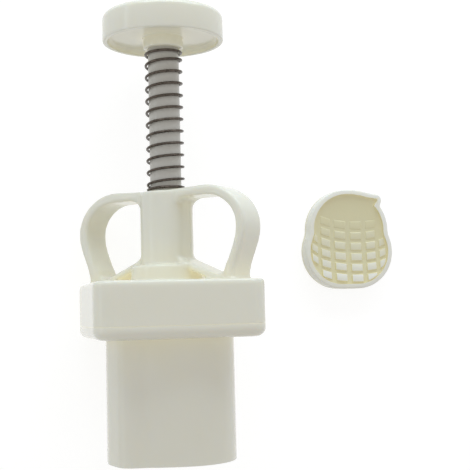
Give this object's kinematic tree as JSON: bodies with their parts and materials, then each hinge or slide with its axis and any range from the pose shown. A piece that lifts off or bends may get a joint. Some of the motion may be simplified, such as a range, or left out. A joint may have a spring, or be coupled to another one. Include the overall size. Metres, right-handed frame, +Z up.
{
  "type": "mooncake mould",
  "caption": "Hand-press mould: a knob and rod push a stamp plate through a peanut-shaped barrel against a coil spring, with two finger loops over a square flange.",
  "frame": {"origin": "on the table under the middle of the mould and the stamp plate that lies beside it", "axes": "+Z up from the table, +Y along the mould from its barrel towards its knob, +X towards the loose stamp plate"},
  "size_m": [0.1438, 0.1828, 0.0671],
  "materials": {
    "ivory_plastic": "glossy moulded ivory",
    "grey_plastic": "satin warm grey",
    "spring_steel": "drawn wire",
    "screw_steel": "plain"
  },
  "bodies": {
    "mould": {"handle_body": "ivory_plastic", "barrel": "ivory_plastic", "barrel_screw_1": "screw_steel", "barrel_screw_2": "screw_steel", "barrel_screw_3": "screw_steel", "barrel_screw_4": "screw_steel", "return_spring": "spring_steel"},
    "plunger": {"plunger_rod": "grey_plastic", "knob": "ivory_plastic", "knob_cap": "ivory_plastic", "knob_screw": "screw_steel", "stamp_carrier": "ivory_plastic", "carrier_washer": "screw_steel", "carrier_screw": "screw_steel"},
    "stamp": {"stamp_plate": "ivory_plastic"}
  },
  "joints": [
    {"name": "plunger_slide", "type": "slide", "parent": "mould", "child": "plunger", "axis": [0, -1, 0.0072], "range_m": [0, 0.04], "stiffness_N_per_m": 350, "springref_m": -0.01, "deforming": ["return_spring"]},
    {"name": "stamp_lift", "type": "slide", "parent": "mould", "child": "stamp", "axis": [0, 0, 1], "range_m": [0, 0.08]}
  ]
}
